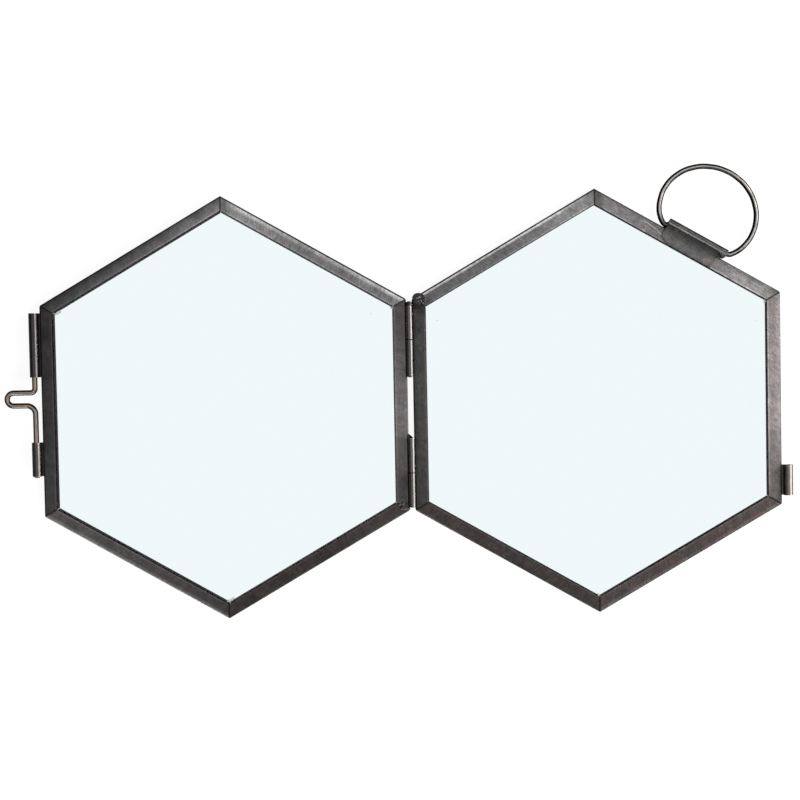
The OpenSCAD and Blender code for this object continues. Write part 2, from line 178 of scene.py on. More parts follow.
# Rails anticlockwise round each leaf. turn: the way the outer wall faces. greys: the tone at the
# start, the middle and the end, with painted light and shade that differ from rail to rail. folds:
# the tone of the fold at the start and further on, a painted shade below 1 and a painted highlight
# above 1. Next, how much paler the painted highlight line beside the fold is there (a painted shade
# where below 0), and reach: how far in that fades. warm, brushed: how much of each. stroke: the
# angle of the brushing. slope: how much paler the inner half is. dulls: how much darker the two
# ends are.
RAILS = {
    "left_leaf_rail_hinge_side": dict(
        turn=0, greys=(0.054, 0.124, 0.064), folds=(0.45, 0.45), shoulder_lights=(0.2, 0.2), reach=0.6 * MM,
        warm=0.6, brushed=0.3, stroke=0.2),
    "left_leaf_rail_top_right": dict(
        turn=60, greys=(0.152, 0.152, 0.226), folds=(0.25, 0.25), shoulder_lights=(2.2, 1.15), reach=1.15 * MM,
        warm=0.2, brushed=0.9, stroke=-0.25, dulls=(0.0, 0.45)),
    "left_leaf_rail_top_left": dict(
        turn=120, greys=(0.139, 0.087, 0.050), folds=(0.50, 0.50), shoulder_lights=(-0.1, -0.1), reach=0.9 * MM,
        warm=0.2, brushed=0.4, stroke=0.3, slope=0.42),
    "left_leaf_rail_latch_side": dict(
        turn=180, greys=(0.034, 0.041, 0.046), folds=(0.65, 0.65), shoulder_lights=(0.0, 0.0), reach=0.6 * MM,
        warm=0.5, brushed=0.2, stroke=0.8, slope=0.12),
    "left_leaf_rail_bottom_left": dict(
        turn=240, greys=(0.084, 0.066, 0.045), folds=(3.0, 3.0), shoulder_lights=(0.9, 0.9), reach=0.6 * MM,
        warm=0.6, brushed=0.5, stroke=0.2, slope=0.05, dulls=(0.0, 0.12)),
    "left_leaf_rail_bottom_right": dict(
        turn=300, greys=(0.035, 0.034, 0.041), folds=(0.5, 0.7), shoulder_lights=(0.0, 0.1), reach=0.6 * MM,
        warm=1.3, brushed=0.6, stroke=-0.3, dulls=(0.0, 0.1)),
    "right_leaf_rail_keeper_side": dict(
        turn=0, greys=(0.092, 0.170, 0.150), folds=(0.30, 0.42), shoulder_lights=(-0.35, 0.33), reach=1.3 * MM,
        warm=1.0, brushed=0.6, stroke=0.9, dulls=(0.15, 0.15)),
    "right_leaf_rail_top_right": dict(
        turn=60, greys=(0.204, 0.100, 0.154), folds=(0.30, 0.30), shoulder_lights=(-0.4, -0.15), reach=1.4 * MM,
        warm=0.4, brushed=0.9, stroke=1.72, dulls=(0.3, 0.5)),
    "right_leaf_rail_top_left": dict(
        turn=120, greys=(0.194, 0.112, 0.095), folds=(0.40, 0.35), shoulder_lights=(-0.1, 3.0), reach=0.45 * MM,
        warm=0.2, brushed=0.9, stroke=-0.5, dulls=(0.25, 0.45)),
    "right_leaf_rail_hinge_side": dict(
        turn=180, greys=(0.045, 0.052, 0.039), folds=(0.70, 0.70), shoulder_lights=(-0.15, -0.15), reach=0.8 * MM,
        warm=0.6, brushed=0.6, stroke=1.45, slope=0.1, dulls=(0.4, 0.0)),
    "right_leaf_rail_bottom_left": dict(
        turn=240, greys=(0.040, 0.036, 0.033), folds=(1.50, 0.75), shoulder_lights=(0.1, 0.0), reach=0.6 * MM,
        warm=1.4, brushed=0.9, stroke=0.1),
    "right_leaf_rail_bottom_right": dict(
        turn=300, greys=(0.049, 0.045, 0.049), folds=(0.80, 0.80), shoulder_lights=(0.7, 0.6), reach=0.6 * MM,
        warm=1.6, brushed=0.7, stroke=0.3),
}
# A long scratch, a copper-coloured spot and a brown stain, each on a rail of its own: the middle
# of the circle that the mark follows, its radius, where it starts and stops from left to right,
# its half width and its tone
MARKS = {
    "right_leaf_rail_top_right": ((0.0781, 0.0405, 0.0), 21.3 * MM, (0.0880, 0.0995), 0.17 * MM,
                                  (2.6, 2.6, 2.65)),
    "right_leaf_rail_top_left": ((0.06504, 0.06356, 0.0), 0.0, (0.0, 0.2), 0.5 * MM, (1.25, 1.02, 0.85)),
    "right_leaf_rail_hinge_side": ((0.0078, 0.0310, 0.0), 0.0, (0.0, 0.2), 1.7 * MM, (0.72, 0.62, 0.56)),
}


class Finish:
    """Node tree of one finish, with short calls for the nodes that the finishes share."""

    def __init__(self, name):
        self.material = bpy.data.materials.new(name)
        self.material.use_nodes = True
        self.tree = self.material.node_tree
        self.surface = self.tree.nodes["Principled BSDF"]
        self.coords = self.add("ShaderNodeTexCoord").outputs
        self.place = self.coords["Object"]

    def add(self, kind, inputs=(), **settings):
        new = self.tree.nodes.new(kind)
        for key, value in settings.items():
            setattr(new, key, value)
        for key, value in dict(inputs).items():
            self.set(new.inputs[key], value)
        return new

    def set(self, socket, value):
        """Links a node's output to the socket, or gives the socket a plain value."""
        if isinstance(value, bpy.types.NodeSocket):
            self.tree.links.new(value, socket)
        elif value is not None:
            socket.default_value = value

    def sum(self, operation, a, b=None, c=None):
        return self.add("ShaderNodeMath", {0: a, 1: b, 2: c}, operation=operation).outputs[0]

    def axes(self, vector):
        return self.add("ShaderNodeSeparateXYZ", {0: vector}).outputs

    def distance(self, a, b):
        return self.add("ShaderNodeVectorMath", {0: a, 1: b}, operation="DISTANCE").outputs["Value"]

    def noise(self, vector, scale, detail=3.0, rough=0.55):
        inputs = {"Vector": vector, "Scale": scale, "Detail": detail, "Roughness": rough}
        return self.add("ShaderNodeTexNoise", inputs).outputs["Fac"]

    def mapped(self, vector, place=(0, 0, 0), turn=(0, 0, 0), scale=(1, 1, 1)):
        inputs = {"Vector": vector, "Location": place, "Rotation": turn, "Scale": scale}
        return self.add("ShaderNodeMapping", inputs).outputs[0]

    def turned(self, middle, turn):
        """Place as it is seen from middle, with its first axis along turn."""
        angle = math.radians(-turn)
        shift = (middle.y * math.sin(angle) - middle.x * math.cos(angle),
                 -middle.x * math.sin(angle) - middle.y * math.cos(angle), 0)
        return self.mapped(self.place, shift, (0, 0, angle))

    def span(self, value, low, high, to_low=0.0, to_high=1.0, kind="SMOOTHSTEP"):
        inputs = {"Value": value, "From Min": low, "From Max": high, "To Min": to_low, "To Max": to_high}
        return self.add("ShaderNodeMapRange", inputs, interpolation_type=kind).outputs[0]

    def stops(self, value, stops, interpolation="EASE"):
        """Colour or grey that runs through the stops as the value goes from 0 to 1."""
        made = self.add("ShaderNodeValToRGB", {"Fac": value})
        ramp = made.color_ramp
        ramp.interpolation = interpolation
        while len(ramp.elements) < len(stops):
            ramp.elements.new(1.0)
        for element, (at, colour) in zip(ramp.elements, stops):
            element.position = at
            element.color = (*colour, 1) if isinstance(colour, tuple) else (colour, colour, colour, 1)
        return made.outputs["Color"]

    def mix(self, factor, a, b, kind="MIX"):
        made = self.add("ShaderNodeMix", data_type="RGBA", blend_type=kind)
        self.set(made.inputs[0], factor)
        for socket, value in ((made.inputs[6], a), (made.inputs[7], b)):
            self.set(socket, (*value, 1) if isinstance(value, tuple) else value)
        return made.outputs[2]

    def times(self, colour, *factors):
        for factor in factors:
            colour = self.mix(1.0, colour, factor, "MULTIPLY")
        return colour

    def relief(self, height, depth):
        """Lets the surface rise and sink with height by that depth."""
        bump = self.add("ShaderNodeBump", {"Height": height, "Distance": depth})
        self.set(self.surface.inputs["Normal"], bump.outputs[0])

    def metal(self, colour, roughness, height, depth, edge=1.0):
        """Finishes as metal, with relief of that depth and its reflection at grazing angles."""
        self.set(self.surface.inputs["Base Color"], colour)
        self.set(self.surface.inputs["Roughness"], roughness)
        self.surface.inputs["Metallic"].default_value = 1.0
        self.surface.inputs["Specular Tint"].default_value = (edge, edge, edge, 1)
        self.relief(height, depth)
        return self.material


def wear(piece, material):
    """Gives a node or piece its finish in place of what it came with."""
    piece.data.materials.clear()
    piece.data.materials.append(material)


def marked(f, colour, grain, centre, radius, reach, half_width, tone):
    """Colour with one ragged mark in it."""
    flat = f.add("ShaderNodeVectorMath", {0: f.place, 1: (1, 1, 0)}, operation="MULTIPLY").outputs[0]
    off = f.sum("ABSOLUTE", f.sum("SUBTRACT", f.distance(flat, centre), radius))
    ragged = f.sum("MULTIPLY_ADD", grain, half_width, off)
    line = f.span(ragged, 0.9 * half_width, 1.7 * half_width, 1.0, 0.0)
    x = f.axes(f.place)[0]
    held = f.sum("MULTIPLY", f.sum("GREATER_THAN", x, reach[0]), f.sum("LESS_THAN", x, reach[1]))
    return f.mix(f.sum("MULTIPLY", line, held), colour, f.times(colour, tone))


def channel_finish(name, turn, greys, folds, shoulder_lights, reach, warm, brushed, stroke, slope=0.0,
                   dulls=(0.0, 0.0)):
    """Antique patina on one rail whose outer wall faces along turn, with painted light and shade in its
    tone, on and beside its fold, at its inner edge and on its back flange.
    """
    f = Finish(name)
    leaf = name.split("_")[0]
    local = f.turned(LEAF_MIDDLES[leaf], turn)
    outward, along, height = f.axes(local)
    grey = f.stops(f.span(along, -RAIL_HALF, RAIL_HALF, kind="LINEAR"),
                   [(0.08, greys[0]), (0.5, greys[1]), (0.92, greys[2])])
    # Clouds, mottling, fine brush strokes and speckle, each somewhat lighter and darker
    cloud = f.noise(local, 95, 3, 0.5)
    mottle = f.noise(local, 480, 4, 0.62)
    lines = f.noise(f.mapped(f.mapped(local, turn=(0, 0, stroke)), scale=(0.13, 1, 1)), 3300, 3, 0.6)
    grain = f.noise(local, 2700, 3, 0.62)
    contrast = 0.30 * brushed
    tint = f.stops(f.noise(local, 170, 4, 0.6),
                   [(0.34, (0.97, 1.0, 1.01)), (0.48, (1.0, 1.0, 1.0)),
                    (0.60, (1.0 + 0.05 * warm, 1.0 - 0.03 * warm, 1.0 - 0.05 * warm)),
                    (0.74, (1.0 + 0.18 * warm, 1.0 - 0.04 * warm, 1.0 - 0.12 * warm))])
    warmth = (1.0 + 0.07 * warm, 1.0 - 0.03 * warm, 1.0 - 0.05 * warm)
    colour = f.times(grey, f.stops(cloud, [(0.3, 0.80), (0.5, 1.0), (0.7, 1.22)]),
                     f.stops(mottle, [(0.32, 0.80), (0.5, 1.0), (0.68, 1.20)]),
                     f.stops(lines, [(0.36, 1.0 - contrast), (0.5, 1.0), (0.64, 1.0 + contrast)]),
                     f.stops(grain, [(0.34, 0.82), (0.5, 1.0), (0.66, 1.2)]), tint, warmth)
    # Across the rail: the painted light on the fold, the painted highlight line beside it, and the painted
    # highlight and painted shadow at the inner cut edge
    face = FACE_WIDTHS[leaf]
    inset = f.span(f.sum("SUBTRACT", LEAF_HALF, outward), 0.0, face, kind="LINEAR")
    further = (along, -RAIL_HALF, -0.2 * RAIL_HALF)
    fold_stops = ((0.0, 1.0), (CREASE, 1.0), (CREASE + CREASE_BLUR, 0.0))
    fold_band = f.stops(inset, [(at / face, tone) for at, tone in fold_stops], "LINEAR")
    fold_tone = f.sum("MULTIPLY", fold_band, f.span(*further, folds[0] - 1, folds[1] - 1))
    shoulder_stops = ((CREASE, 0.0), (CREASE + CREASE_BLUR, 1.0), (CREASE + SHOULDER_LIGHT_WIDTH, 1.0),
                 (CREASE + SHOULDER_LIGHT_WIDTH + reach, 0.0))
    shoulder_band = f.stops(inset, [(at / face, tone) for at, tone in shoulder_stops], "LINEAR")
    shoulder_tone = f.sum("MULTIPLY", shoulder_band, f.span(*further, *shoulder_lights))
    if shoulder_lights[0] > 1:
        # A strong painted highlight line fades towards the rail's darker end
        to_end = f.sum("SUBTRACT", RAIL_HALF, along)
        left_over = 1.0 - min(1.0, 2 * dulls[1])
        shoulder_tone = f.sum("MULTIPLY", shoulder_tone, f.span(to_end, *SHOULDER_LIGHT_FADE, left_over, 1.0))
    # Painted highlight just inside the inner cut edge, then a painted shadow at the very edge beside the
    # glass
    edge_stops = ((0.0, 1.0), (face - 2.2 * CUT_EDGE, 1.0), (face - 1.2 * CUT_EDGE, 1.5),
                  (face - 0.5 * CUT_EDGE, 1.6), (face - 0.3 * CUT_EDGE, 0.5), (face, 0.4))
    # A colour ramp holds no tone above 1, so it carries a fifth of each
    edge_tone = f.stops(inset, [(at / face, tone * (1.0 + slope * (2 * at / face - 1)) / 5)
                                for at, tone in edge_stops], "LINEAR")
    across = f.sum("MULTIPLY", f.sum("MULTIPLY", edge_tone, 5.0),
                   f.sum("ADD", 1.0, f.sum("ADD", fold_tone, shoulder_tone)))
    # Dark stain along each mitre, and a painted shade on the inside of the back flange under the glass
    half_width = f.sum("MULTIPLY", outward, math.tan(MITRE))
    seam = f.sum("SUBTRACT", half_width, f.sum("ABSOLUTE", along))
    from_start = f.sum("ADD", half_width, along)
    from_end = f.sum("SUBTRACT", half_width, along)
    dulled = f.sum("MULTIPLY", f.span(from_start, *DULL_FADE, 1.0 - dulls[0], 1.0),
                   f.span(from_end, *DULL_FADE, 1.0 - dulls[1], 1.0))
    ragged = f.sum("MULTIPLY_ADD", mottle, -STAIN_RAGGED, seam)
    stain = f.span(ragged, *STAIN_FADE, STAIN_TONE, 1.0)
    facing = f.axes(f.coords["Normal"])[2]
    flange_shade = f.sum("MULTIPLY", f.span(height, BACK_HEIGHT, 0.9 * BACK_HEIGHT), f.span(facing, 0.3, 0.5))
    colour = f.times(colour, across, dulled, stain)
    if name in MARKS:
        colour = marked(f, colour, grain, *MARKS[name])
    rough = f.sum("ADD", f.span(grain, 0.3, 0.7, 0.38, 0.5), f.span(cloud, 0.35, 0.65, 0.05, -0.04))
    bumps = f.sum("ADD", f.sum("MULTIPLY", lines, 0.5 * brushed), f.sum("ADD", grain, mottle))
    return f.metal(f.mix(flange_shade, colour, FLANGE_SHADE), rough, bumps, depth=0.01 * MM, edge=0.45)


for name, look in RAILS.items():
    wear(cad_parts[name], channel_finish(name, **look))


# Mitre solder
# A thin bead of solder, gone black, fills the seam at each of a leaf's six corners from the inner
# edge to the outer wall and holds the rails together.
BEAD_WIDTH = 0.42 * MM
BEAD_DEPTH = 0.42 * MM
BEAD_SUNK = 0.05 * MM
BEAD_SHORT = 0.45 * MM
BEAD_CUTS = 7
BEAD_ROUGH = 0.05 * MM
BEAD_GRAIN = 2500
CREST_BLUR = 0.07 * MM


def heading(turn):
    """Directions along turn and a quarter turn further on."""
    angle = math.radians(turn)
    ahead = Vector((math.cos(angle), math.sin(angle), 0))
    return ahead, Vector((-ahead.y, ahead.x, 0))


def settle(name):
    """Names the active object and moves its place, turn and size into its mesh."""
    piece = bpy.context.object
    piece.name = piece.data.name = name
    bpy.ops.object.transform_apply(location=True, rotation=True, scale=True)
    return piece


def joined(name, pieces):
    """Joins pieces into one that is named name."""
    bpy.ops.object.select_all(action="DESELECT")
    for piece in pieces:
        piece.select_set(True)
    bpy.context.view_layer.objects.active = pieces[0]
    bpy.ops.object.join()
    return settle(name)


def roughen(piece, depth, grain, seed):
    """Pushes each point of a hand-soldered surface in or out, with that many bumps a metre."""
    for vertex in piece.data.vertices:
        lump = noise.noise(vertex.co * grain + Vector((seed, 0, 0)))
        vertex.co += vertex.normal * lump * depth


def bead(leaf, turn):
    """Bead in the seam of the corner that points along turn."""
    ahead = heading(turn)[0]
    inner = (LEAF_HALF - FACE_WIDTHS[leaf]) / math.cos(MITRE)
    outer = LEAF_HALF / math.cos(MITRE) - BEAD_SHORT
    middle = LEAF_MIDDLES[leaf] + ahead * (inner + outer) / 2
    middle.z = FACE_TOP - BEAD_SUNK - BEAD_DEPTH / 2
    bpy.ops.mesh.primitive_cube_add(size=1, location=middle, rotation=(0, 0, math.radians(turn)),
                                    scale=(outer - inner, BEAD_WIDTH, BEAD_DEPTH))
    made = settle("bead")
    bpy.ops.object.mode_set(mode="EDIT")
    bpy.ops.mesh.subdivide(number_cuts=BEAD_CUTS)
    bpy.ops.object.mode_set(mode="OBJECT")
    roughen(made, BEAD_ROUGH, BEAD_GRAIN, turn)
    return made


def solder_finish(name, dark, pale, crest=None):
    """Lumpy solder under a black skin, pale where it faces up or where it stands above crest."""
    f = Finish(name)
    lumps = f.noise(f.place, 900, 4, 0.6)
    grain = f.noise(f.place, 3500, 3, 0.6)
    if crest:
        height = f.axes(f.place)[2]
        high = f.span(f.sum("MULTIPLY_ADD", lumps, 0.1 * MM, height), crest, crest + CREST_BLUR)
    else:
        facing = f.axes(f.coords["Normal"])[2]
        high = f.span(f.sum("MULTIPLY_ADD", lumps, 0.9, facing), 1.0, 1.5)
    colour = f.times(f.mix(high, dark, pale), f.stops(grain, [(0.35, 0.8), (0.65, 1.2)]))
    rough = f.span(lumps, 0.3, 0.7, 0.28, 0.5)
    return f.metal(colour, rough, f.sum("ADD", lumps, grain), depth=0.02 * MM, edge=0.5)


for leaf in ("left", "right"):
    beads = joined(leaf + "_mitre_solder", [bead(leaf, turn) for turn in range(30, 390, 60)])
    wear(beads, solder_finish(leaf + "_mitre_solder", (0.008, 0.007, 0.006), (0.020, 0.015, 0.013)))
    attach(beads, leaf + "_leaf")


# Corner solder
# Where each leaf's channel closes on itself, the joint was flooded with solder by hand. It stands
# up in a few lumps over the seam, smeared towards both rails.
LUMP_ROUGH = 0.1 * MM
LUMP_GRAIN = 1300
LUMP_VOXEL = 0.06 * MM
LUMP_SKIN = (0.036, 0.034, 0.035)
# Turn of each closing corner and its lumps: distance in from the corner, offset across the seam,
# length, width, turn, height and how far below the face its middle lies
LUMPS = {
    "left": (-30, [(1.5, 0.1, 1.5, 0.75, 0.3, 0.24, 0.0), (2.7, -0.5, 1.0, 0.7, 1.1, 0.24, 0.0),
                   (3.2, 0.75, 1.1, 0.5, -0.7, 0.24, 0.0), (4.3, 0.1, 0.7, 0.45, 0.2, 0.24, 0.0),
                   (2.2, 1.3, 0.7, 0.35, 1.6, 0.24, 0.0)]),
    "right": (150, [(2.3, -1.35, 2.45, 2.0, 0.25, 0.26, 0.0), (1.25, -1.5, 1.5, 1.25, 0.9, 1.1, 0.9),
                    (1.7, -1.3, 0.6, 0.28, 0.7, 0.22, -0.2), (2.2, -1.9, 0.5, 0.24, 0.2, 0.2, -0.2),
                    (3.1, -1.05, 0.6, 0.26, -0.6, 0.22, -0.2), (4.3, -0.8, 1.0, 0.3, 1.2, 0.24, -0.06),
                    (2.5, -0.45, 0.8, 0.26, 1.2, 0.2, -0.18), (3.7, -1.9, 0.9, 0.35, 0.9, 0.22, -0.08)]),
}
# The height above the face from which each corner's solder is paler, and its tone there
CRESTS = {"left": (0.23 * MM, (0.080, 0.074, 0.068)), "right": (0.34 * MM, (0.135, 0.13, 0.123))}


def near_corner(leaf, turn, half, inset, offset, height):
    """Place near the corner that points along turn, of a hexagon that is half wide from its middle."""
    ahead, aside = heading(turn)
    corner = LEAF_MIDDLES[leaf] + ahead * half / math.cos(MITRE)
    place = corner - ahead * inset * MM + aside * offset * MM
    place.z = height
    return place


def pressed_ball(name, place, turn, half_sizes):
    """Ball at place, pressed to those half sizes along turn, across it and upward."""
    bpy.ops.mesh.primitive_ico_sphere_add(subdivisions=4, radius=1, location=place,
                                          rotation=(0, 0, turn), scale=half_sizes)
    return settle(name)


def lump(leaf, turn, seed, inset, offset, length, width, twist, height, sunk):
    """One blob of solder, lying over the seam of the corner that points along turn."""
    place = near_corner(leaf, turn, LEAF_HALF, inset, offset, FACE_TOP - sunk * MM)
    made = pressed_ball("lump", place, math.radians(turn) + twist, (length * MM, width * MM, height * MM))
    roughen(made, LUMP_ROUGH, LUMP_GRAIN, seed)
    return made


for leaf, (turn, lumps) in LUMPS.items():
    made = [lump(leaf, turn, 7 * k, *one) for k, one in enumerate(lumps)]
    blob = joined(leaf + "_closing_solder", made)
    remesh = blob.modifiers.new("fused", "REMESH")
    remesh.mode = "VOXEL"
    remesh.voxel_size = LUMP_VOXEL
    bpy.ops.object.modifier_apply(modifier=remesh.name)
    bpy.ops.object.shade_smooth()
    crest, pale = CRESTS[leaf]
    wear(blob, solder_finish(leaf + "_closing_solder", LUMP_SKIN, pale, FACE_TOP + crest))
    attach(blob, leaf + "_leaf")
    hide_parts(leaf + "_corner_solder")


# Glass panes
# Two hexagons of clear 2 mm float glass that sit in the channel. They have a faint blue cast and
# the odd speck of dust.
GLASS_TINT = (0.861, 0.929, 0.947)
GLASS_BENDING = 1.45
DUST = (0.45, 0.47, 0.47)


def pane_finish(name):
    """Clear glass, a little hazy in places."""
    f = Finish(name)
    haze = f.noise(f.place, 60, 3, 0.5)
    cells = f.add("ShaderNodeTexVoronoi", {"Vector": f.place, "Scale": 45}, feature="F1").outputs["Distance"]
    speck = f.span(cells, 0.006, 0.012)
    f.set(f.surface.inputs["Base Color"], f.mix(speck, DUST, GLASS_TINT))
    f.set(f.surface.inputs["Roughness"], f.span(haze, 0.5, 0.8, 0.0, 0.03))
    f.surface.inputs["Transmission Weight"].default_value = 1.0
    f.surface.inputs["IOR"].default_value = GLASS_BENDING
    return f.material


for name in ("left_glass", "right_glass"):
    wear(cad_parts[name], pane_finish(name))


# Flux residue
# Thin greyish film that ran out of the mitres onto the glass and dried in a few of the inner
# corners.
FILM_THICK = 0.03 * MM
FILM_RAGGED = 0.5
FILM_LOBES = 2.3
# Film patches: leaf, corner, distance in from the flange corner, offset, length, width, turn
FILMS = [
    ("left", 150, 1.85, -1.1, 1.2, 0.45, 1.1), ("left", 150, 1.35, -0.3, 0.6, 0.35, 1.1),
    ("left", 30, 0.4, -0.6, 1.3, 0.45, -0.9), ("left", -90, 1.25, 0.3, 1.15, 0.6, 2.0),
    ("left", -90, 1.95, 1.3, 0.8, 0.3, 2.1), ("left", 30, 8.2, 2.0, 0.22, 0.16, 0.4),
    ("right", 30, 0.5, -0.1, 0.8, 0.5, 0.3), ("right", -90, 0.4, -0.3, 0.8, 0.4, 0.2),
    ("right", 150, 6.2, 2.3, 0.24, 0.17, 1.4),
]
GLASS_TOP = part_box("left_glass")[1].z


def film(seed, leaf, turn, inset, offset, length, width, twist):
    """One dried patch with a ragged outline, in the inner corner that points along turn."""
    place = near_corner(leaf, turn, LEAF_HALF - FACE_WIDTHS[leaf], inset, offset, GLASS_TOP)
    made = pressed_ball("film", place, math.radians(turn) + twist, (length * MM, width * MM, FILM_THICK))
    for vertex in made.data.vertices:
        away = vertex.co - place
        lobe = noise.noise(away.normalized() * FILM_LOBES + Vector((seed * 5, 0, 0)))
        ragged = 1 + FILM_RAGGED * lobe
        vertex.co = place + Vector((away.x * ragged, away.y * ragged, away.z))
    return made


def film_finish(name):
    """Dry powdery film."""
    f = Finish(name)
    powder = f.noise(f.place, 2500, 4, 0.7)
    tone = f.stops(powder, [(0.35, (0.20, 0.205, 0.195)), (0.65, (0.38, 0.385, 0.37))])
    f.set(f.surface.inputs["Base Color"], tone)
    f.surface.inputs["Roughness"].default_value = 0.85
    f.relief(powder, depth=0.02 * MM)
    return f.material


for leaf in ("left", "right"):
    spots = [film(k, *spot) for k, spot in enumerate(FILMS) if spot[0] == leaf]
    residue = joined(leaf + "_flux_residue", spots)
    wear(residue, film_finish(leaf + "_flux_residue"))
    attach(residue, leaf + "_leaf")


# Hinge knuckles
# Each knuckle is a strip of sheet rolled round the hinge pin, with its tail soldered to the
# rail's wall. Its sides are black as painted shade and its crown paler as a painted sheen; one cut
# end carries a painted highlight, the others are dark.
HINGE_X = (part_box("upper_knuckle_left")[1].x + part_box("upper_knuckle_left")[0].x) / 2
# Painted highlight on the one bright cut end
END_HIGHLIGHT = (0.45, 0.42, 0.39)
DARK_END = (0.020, 0.018, 0.017)
PIN_SOLDER = (0.012, 0.009, 0.008)
THIN_RIM = 0.15 * MM
SOLDER_RIM = 1.15 * MM
RIM_RAGGED = 0.25 * MM
RIM_COVER = 0.75
KNUCKLE_ROUGH = 0.21
FAR_OFF = 1.0
# The tone of the sides, a painted shade, and of the crown, a painted sheen, the tone of the ends
# and how far in from an end it shows, and how far below the knuckle its lower end is put, which
# keeps that tone off it
KNUCKLES = {
    "upper_knuckle_left": ((0.034, 0.032, 0.032), (0.098, 0.093, 0.092), DARK_END, THIN_RIM, 0.0),
    "upper_knuckle_right": ((0.030, 0.026, 0.025), (0.104, 0.096, 0.093), PIN_SOLDER, SOLDER_RIM, FAR_OFF),
    "lower_knuckle_left": ((0.036, 0.034, 0.033), (0.104, 0.098, 0.095), END_HIGHLIGHT, THIN_RIM, FAR_OFF),
    "lower_knuckle_right": ((0.048, 0.043, 0.040), (0.100, 0.093, 0.089), DARK_END, THIN_RIM, 0.0),
}


def rolled_finish(name, dark, pale, low=-FAR_OFF, high=FAR_OFF, end_tone=DARK_END, rough=KNUCKLE_ROUGH,
                  rim=THIN_RIM):
    """Patina on sheet that was rolled along Y, with its two cut ends at low and high; its sides are black as
    painted shade and its crown paler as a painted sheen.
    """
    f = Finish(name)
    along = f.axes(f.place)[1]
    facing = f.axes(f.coords["Normal"])[2]
    grain = f.noise(f.place, 2400, 3, 0.65)
    cloud = f.noise(f.place, 420, 4, 0.6)
    scuffs = f.noise(f.mapped(f.place, turn=(0, 0, 0.15), scale=(1, 0.2, 1)), 1900, 2, 0.6)
    # Painted shade on the sides and painted sheen on the crown, by how far the surface faces up
    crown_sheen = f.span(f.sum("ADD", facing, f.sum("MULTIPLY_ADD", cloud, 0.3, -0.15)), 0.3, 0.85)
    cloudy = [(0.34, (0.93, 0.97, 1.0)), (0.5, (1.0, 1.0, 1.0)), (0.68, (1.08, 1.0, 0.98))]
    tone = f.times(f.mix(crown_sheen, dark, pale), f.stops(grain, [(0.34, 0.85), (0.5, 1.0), (0.66, 1.16)]),
                   f.stops(scuffs, [(0.36, 0.9), (0.5, 1.0), (0.64, 1.12)]), f.stops(cloud, cloudy))
    near_end = f.sum("MINIMUM", f.sum("SUBTRACT", along, low), f.sum("SUBTRACT", high, along))
    ragged = f.sum("MULTIPLY_ADD", grain, RIM_RAGGED, near_end)
    at_end = f.span(ragged, rim - 0.03 * MM, 1.25 * rim + 0.1 * MM, 1.0, 0.0)
    tone = f.mix(f.sum("MULTIPLY", at_end, RIM_COVER), tone, end_tone)
    gloss = f.span(grain, 0.3, 0.7, rough - 0.05, rough + 0.06)
    return f.metal(tone, gloss, f.sum("ADD", grain, scuffs), depth=0.004 * MM, edge=0.35)


for name, (dark, pale, end_tone, rim, skipped) in KNUCKLES.items():
    low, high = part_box(name)
    finish = rolled_finish(name, dark, pale, low.y - skipped, high.y, end_tone, KNUCKLE_ROUGH, rim)
    wear(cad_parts[name], finish)


# Hinge pins
# Plain wire pins, black on their sides as painted shade and paler on their crowns as a painted highlight.
# The upper one was set with a dab of solder that closes the top of its knuckle.
CAP_HALF_SIZES = (1.33 * MM, 1.45 * MM, 1.28 * MM)
CAP_SUNK = 1.0 * MM
CAP_DROP = 0.06 * MM
CAP_ROUGH = 0.1 * MM
CAP_GRAIN = 1500
SOOTY_FADE = (1.2 * MM, 4.2 * MM)
SOOTY_TONE = 0.22


def wire_finish(name, dark, pale, warm, crown_from=0.80, sooty=None):
    """Drawn wire: black on its sides as painted shade, brown metal on its crown as a painted highlight,
    sooty near that place.
    """
    f = Finish(name)
    facing = f.axes(f.coords["Normal"])[2]
    grain = f.noise(f.place, 2200, 4, 0.65)
    cloud = f.noise(f.place, 260, 3, 0.6)
    # Painted highlight on the crown and painted shade on the sides, by how far the surface faces up
    crown = f.span(f.sum("ADD", facing, f.sum("MULTIPLY_ADD", cloud, 0.1, -0.05)), crown_from, 1.0)
    tone = f.times(f.mix(crown, dark, pale), f.stops(grain, [(0.34, 0.92), (0.5, 1.0), (0.66, 1.08)]),
                   f.stops(cloud, [(0.36, (0.95, 1.0, 1.03)), (0.66, warm)]))
    if sooty is not None:
        tone = f.times(tone, f.span(f.distance(f.place, sooty), *SOOTY_FADE, SOOTY_TONE, 1.0))
    rough = f.span(cloud, 0.3, 0.7, 0.15, 0.22)
    return f.metal(tone, rough, grain, depth=0.0006 * MM, edge=0.12)


for name in ("upper_hinge_pin", "lower_hinge_pin"):
    finish = wire_finish(name, (0.012, 0.011, 0.010), (0.05, 0.045, 0.04), (1.2, 0.92, 0.8))
    wear(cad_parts[name], finish)

knuckle_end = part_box("upper_knuckle_right")[1].y
pin_low, pin_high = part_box("upper_hinge_pin")
pin_z = (pin_low.z + pin_high.z) / 2
bpy.ops.mesh.primitive_uv_sphere_add(segments=64, ring_count=40, radius=1, scale=CAP_HALF_SIZES,
                                     location=(HINGE_X, knuckle_end - CAP_SUNK, pin_z - CAP_DROP))
cap = settle("upper_pin_solder")
roughen(cap, CAP_ROUGH, CAP_GRAIN, seed=3)
bpy.ops.object.shade_smooth()
wear(cap, solder_finish("upper_pin_solder", (0.020, 0.014, 0.011), (0.10, 0.070, 0.055)))
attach(cap, "right_leaf")


